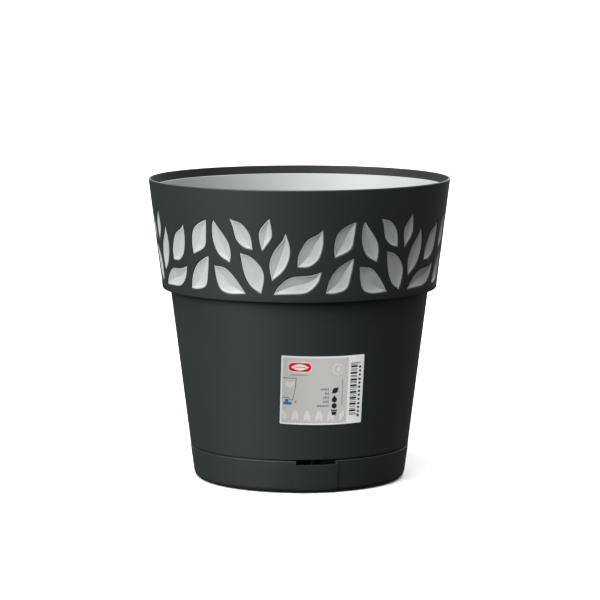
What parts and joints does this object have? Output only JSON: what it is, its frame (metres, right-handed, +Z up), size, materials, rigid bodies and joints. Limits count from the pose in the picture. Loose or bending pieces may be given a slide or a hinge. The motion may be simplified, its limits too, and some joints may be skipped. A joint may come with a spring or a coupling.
{
  "type": "self watering planter",
  "caption": "Round self-watering flower pot: dark outer pot with a leaf-pierced collar, light inner liner, wicking grid and a saucer that holds water.",
  "frame": {"origin": "centre of the foot, on the ground", "axes": "+Z up along the pot's axis, and the front with its filling slot and label faces -Y"},
  "size_m": [0.2, 0.2, 0.1997],
  "materials": {
    "pot_plastic": "matte anthracite moulded plastic",
    "saucer_plastic": "matte anthracite moulded plastic",
    "liner_plastic": "satin light grey moulded plastic",
    "grid_plastic": "matte black moulded plastic",
    "cup_plastic": "matte black moulded plastic",
    "label_paper": "coated printed paper label"
  },
  "bodies": {
    "saucer": {"reservoir_saucer": "saucer_plastic"},
    "pot": {"outer_pot": "pot_plastic", "product_label": "label_paper"},
    "liner": {"inner_liner": "liner_plastic"},
    "grid": {"separator_grid": "grid_plastic"},
    "wick": {"wicking_cup": "cup_plastic"}
  },
  "joints": [
    {"name": "pot_lift", "type": "slide", "parent": "saucer", "child": "pot", "axis": [0, 0, 1], "range_m": [0, 0.05]},
    {"name": "liner_lift", "type": "slide", "parent": "pot", "child": "liner", "axis": [0, 0, 1], "range_m": [0, 0.2]},
    {"name": "grid_lift", "type": "slide", "parent": "liner", "child": "grid", "axis": [0, 0, 1], "range_m": [0, 0.195]},
    {"name": "cup_lift", "type": "slide", "parent": "grid", "child": "wick", "axis": [0, 0, 1], "range_m": [0, 0.03]}
  ]
}
